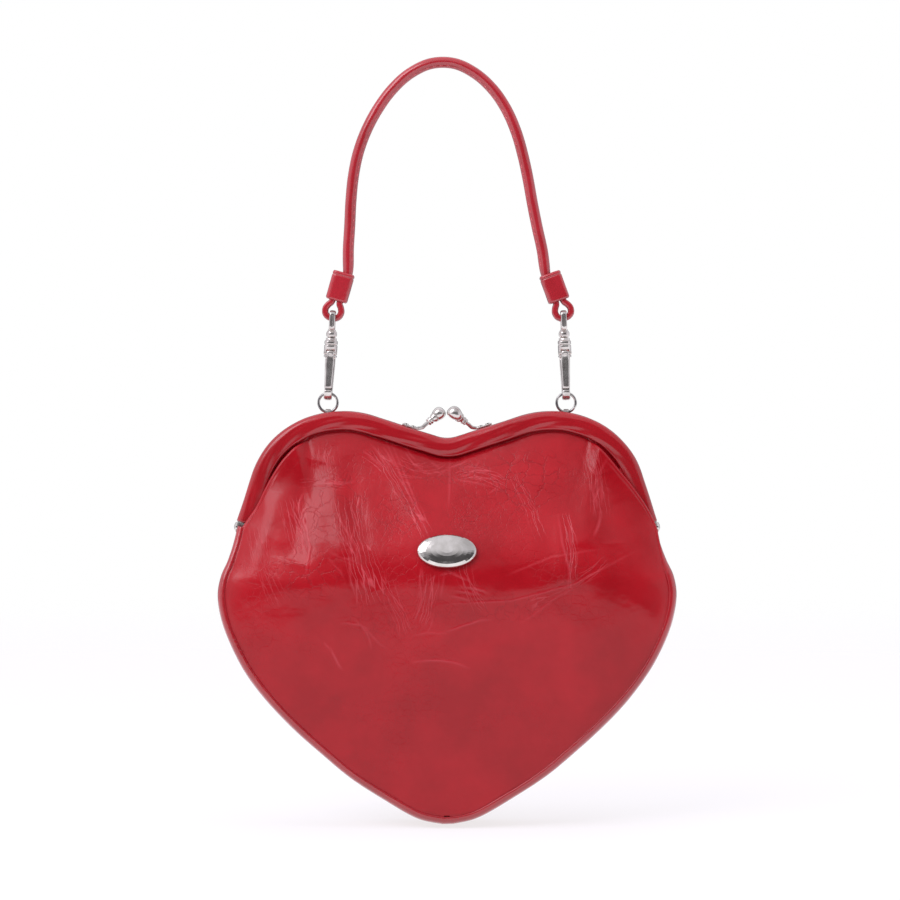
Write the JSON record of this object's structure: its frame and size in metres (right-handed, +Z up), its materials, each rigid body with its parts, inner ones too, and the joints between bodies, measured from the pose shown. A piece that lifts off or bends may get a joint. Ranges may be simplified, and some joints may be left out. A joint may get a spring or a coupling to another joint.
{
  "type": "handbag",
  "caption": "Small heart-shaped frame handbag in glossy leather with a kiss-lock clasp, hinged mouth and an arched rolled handle on swivel snap hooks.",
  "frame": {"origin": "underside of the top of the handle, at the middle of the strap's arch, where a hand or a peg carries the bag", "axes": "+Z up, -Y to the front with the plaque, +X to the right as seen from the front"},
  "size_m": [0.202, 0.0642, 0.3392],
  "materials": {
    "red_leather": "glossy patent, softly creased",
    "nickel": "polished nickel plate on zinc alloy",
    "steel": "plain steel",
    "lining": "plain satin",
    "cord": "twisted paper"
  },
  "bodies": {
    "handle": {"handle_leather": "red_leather", "handle_core": "cord", "left_keeper": "red_leather", "right_keeper": "red_leather"},
    "left_eye": {"left_swivel_eye": "nickel"},
    "right_eye": {"right_swivel_eye": "nickel"},
    "left_hook": {"left_hook_body": "nickel", "left_gate_pin": "steel", "left_gate_spring": "steel"},
    "right_hook": {"right_hook_body": "nickel", "right_gate_pin": "steel", "right_gate_spring": "steel"},
    "left_gate": {"left_gate": "nickel"},
    "right_gate": {"right_gate": "nickel"},
    "left_ring": {"left_ring": "nickel"},
    "right_ring": {"right_ring": "nickel"},
    "back_frame": {"back_channel": "steel", "back_frame_leather": "red_leather", "back_paper_cord": "cord", "left_hinge_pin": "nickel", "right_hinge_pin": "nickel", "back_clasp_arm": "nickel", "back_clasp_ball": "nickel", "back_clasp_rivets": "steel", "left_ring_lug": "steel", "right_ring_lug": "steel", "back_panel_upper": "red_leather", "back_lining_upper": "lining"},
    "pouch": {"front_panel_lower": "red_leather", "back_panel_lower": "red_leather", "gusset": "red_leather", "front_lining_lower": "lining", "back_lining_lower": "lining", "gusset_lining": "lining", "slip_pocket": "lining", "plaque": "nickel", "plaque_backing": "steel"},
    "front_frame": {"front_channel": "steel", "front_frame_leather": "red_leather", "front_paper_cord": "cord", "front_clasp_arm": "nickel", "front_clasp_ball": "nickel", "front_clasp_rivets": "steel", "front_panel_upper": "red_leather", "front_lining_upper": "lining"}
  },
  "joints": [
    {"name": "left_eye_swing", "type": "hinge", "parent": "handle", "child": "left_eye", "pos_m": [-0.05079, 0.0011, -0.10904], "axis": [0, 1, 0], "range_deg": [-0.4, 0.4]},
    {"name": "left_hook_swivel", "type": "hinge", "parent": "left_eye", "child": "left_hook", "pos_m": [-0.053, 0.0011, -0.14513], "axis": [0.061, 0, 0.9981], "range_deg": [-18, 18]},
    {"name": "left_gate_swing", "type": "hinge", "parent": "left_hook", "child": "left_gate", "pos_m": [-0.05191, -0.0021, -0.12726], "axis": [0.9981, 0, -0.061], "range_deg": [0, 15], "stiffness_Nm_per_rad": 0.01, "springref_deg": -22.92},
    {"name": "right_eye_swing", "type": "hinge", "parent": "handle", "child": "right_eye", "pos_m": [0.05174, 0.0011, -0.109], "axis": [0, 1, 0], "range_deg": [-0.4, 0.4]},
    {"name": "right_hook_swivel", "type": "hinge", "parent": "right_eye", "child": "right_hook", "pos_m": [0.053, 0.0011, -0.14513], "axis": [-0.0349, 0, 0.9994], "range_deg": [-18, 18]},
    {"name": "right_gate_swing", "type": "hinge", "parent": "right_hook", "child": "right_gate", "pos_m": [0.05237, -0.0021, -0.12724], "axis": [0.9994, 0, 0.0349], "range_deg": [0, 15], "stiffness_Nm_per_rad": 0.01, "springref_deg": -22.92},
    {"name": "left_ring_swing", "type": "hinge", "parent": "handle", "child": "left_ring", "pos_m": [-0.053, 0.0011, -0.14513], "axis": [1, 0, 0], "range_deg": [-42, 42]},
    {"name": "right_ring_swing", "type": "hinge", "parent": "handle", "child": "right_ring", "pos_m": [0.053, 0.0011, -0.14513], "axis": [1, 0, 0], "range_deg": [-42, 42]},
    {"name": "bag_swing", "type": "hinge", "parent": "left_ring", "child": "back_frame", "pos_m": [-0.053, 0.0011, -0.15353], "axis": [1, 0, 0], "range_deg": [-40, 40]},
    {"name": "mouth_back", "type": "hinge", "parent": "back_frame", "child": "pouch", "pos_m": [0, 0, -0.20474], "axis": [1, 0, 0], "range_deg": [0, 34]},
    {"name": "mouth_front", "type": "hinge", "parent": "pouch", "child": "front_frame", "pos_m": [0, 0, -0.20474], "axis": [1, 0, 0], "range_deg": [0, 34]}
  ],
  "couplings": [
    {"joint": "right_ring_swing", "follows": "left_ring_swing", "ratio": 1},
    {"joint": "mouth_front", "follows": "mouth_back", "ratio": 1}
  ]
}
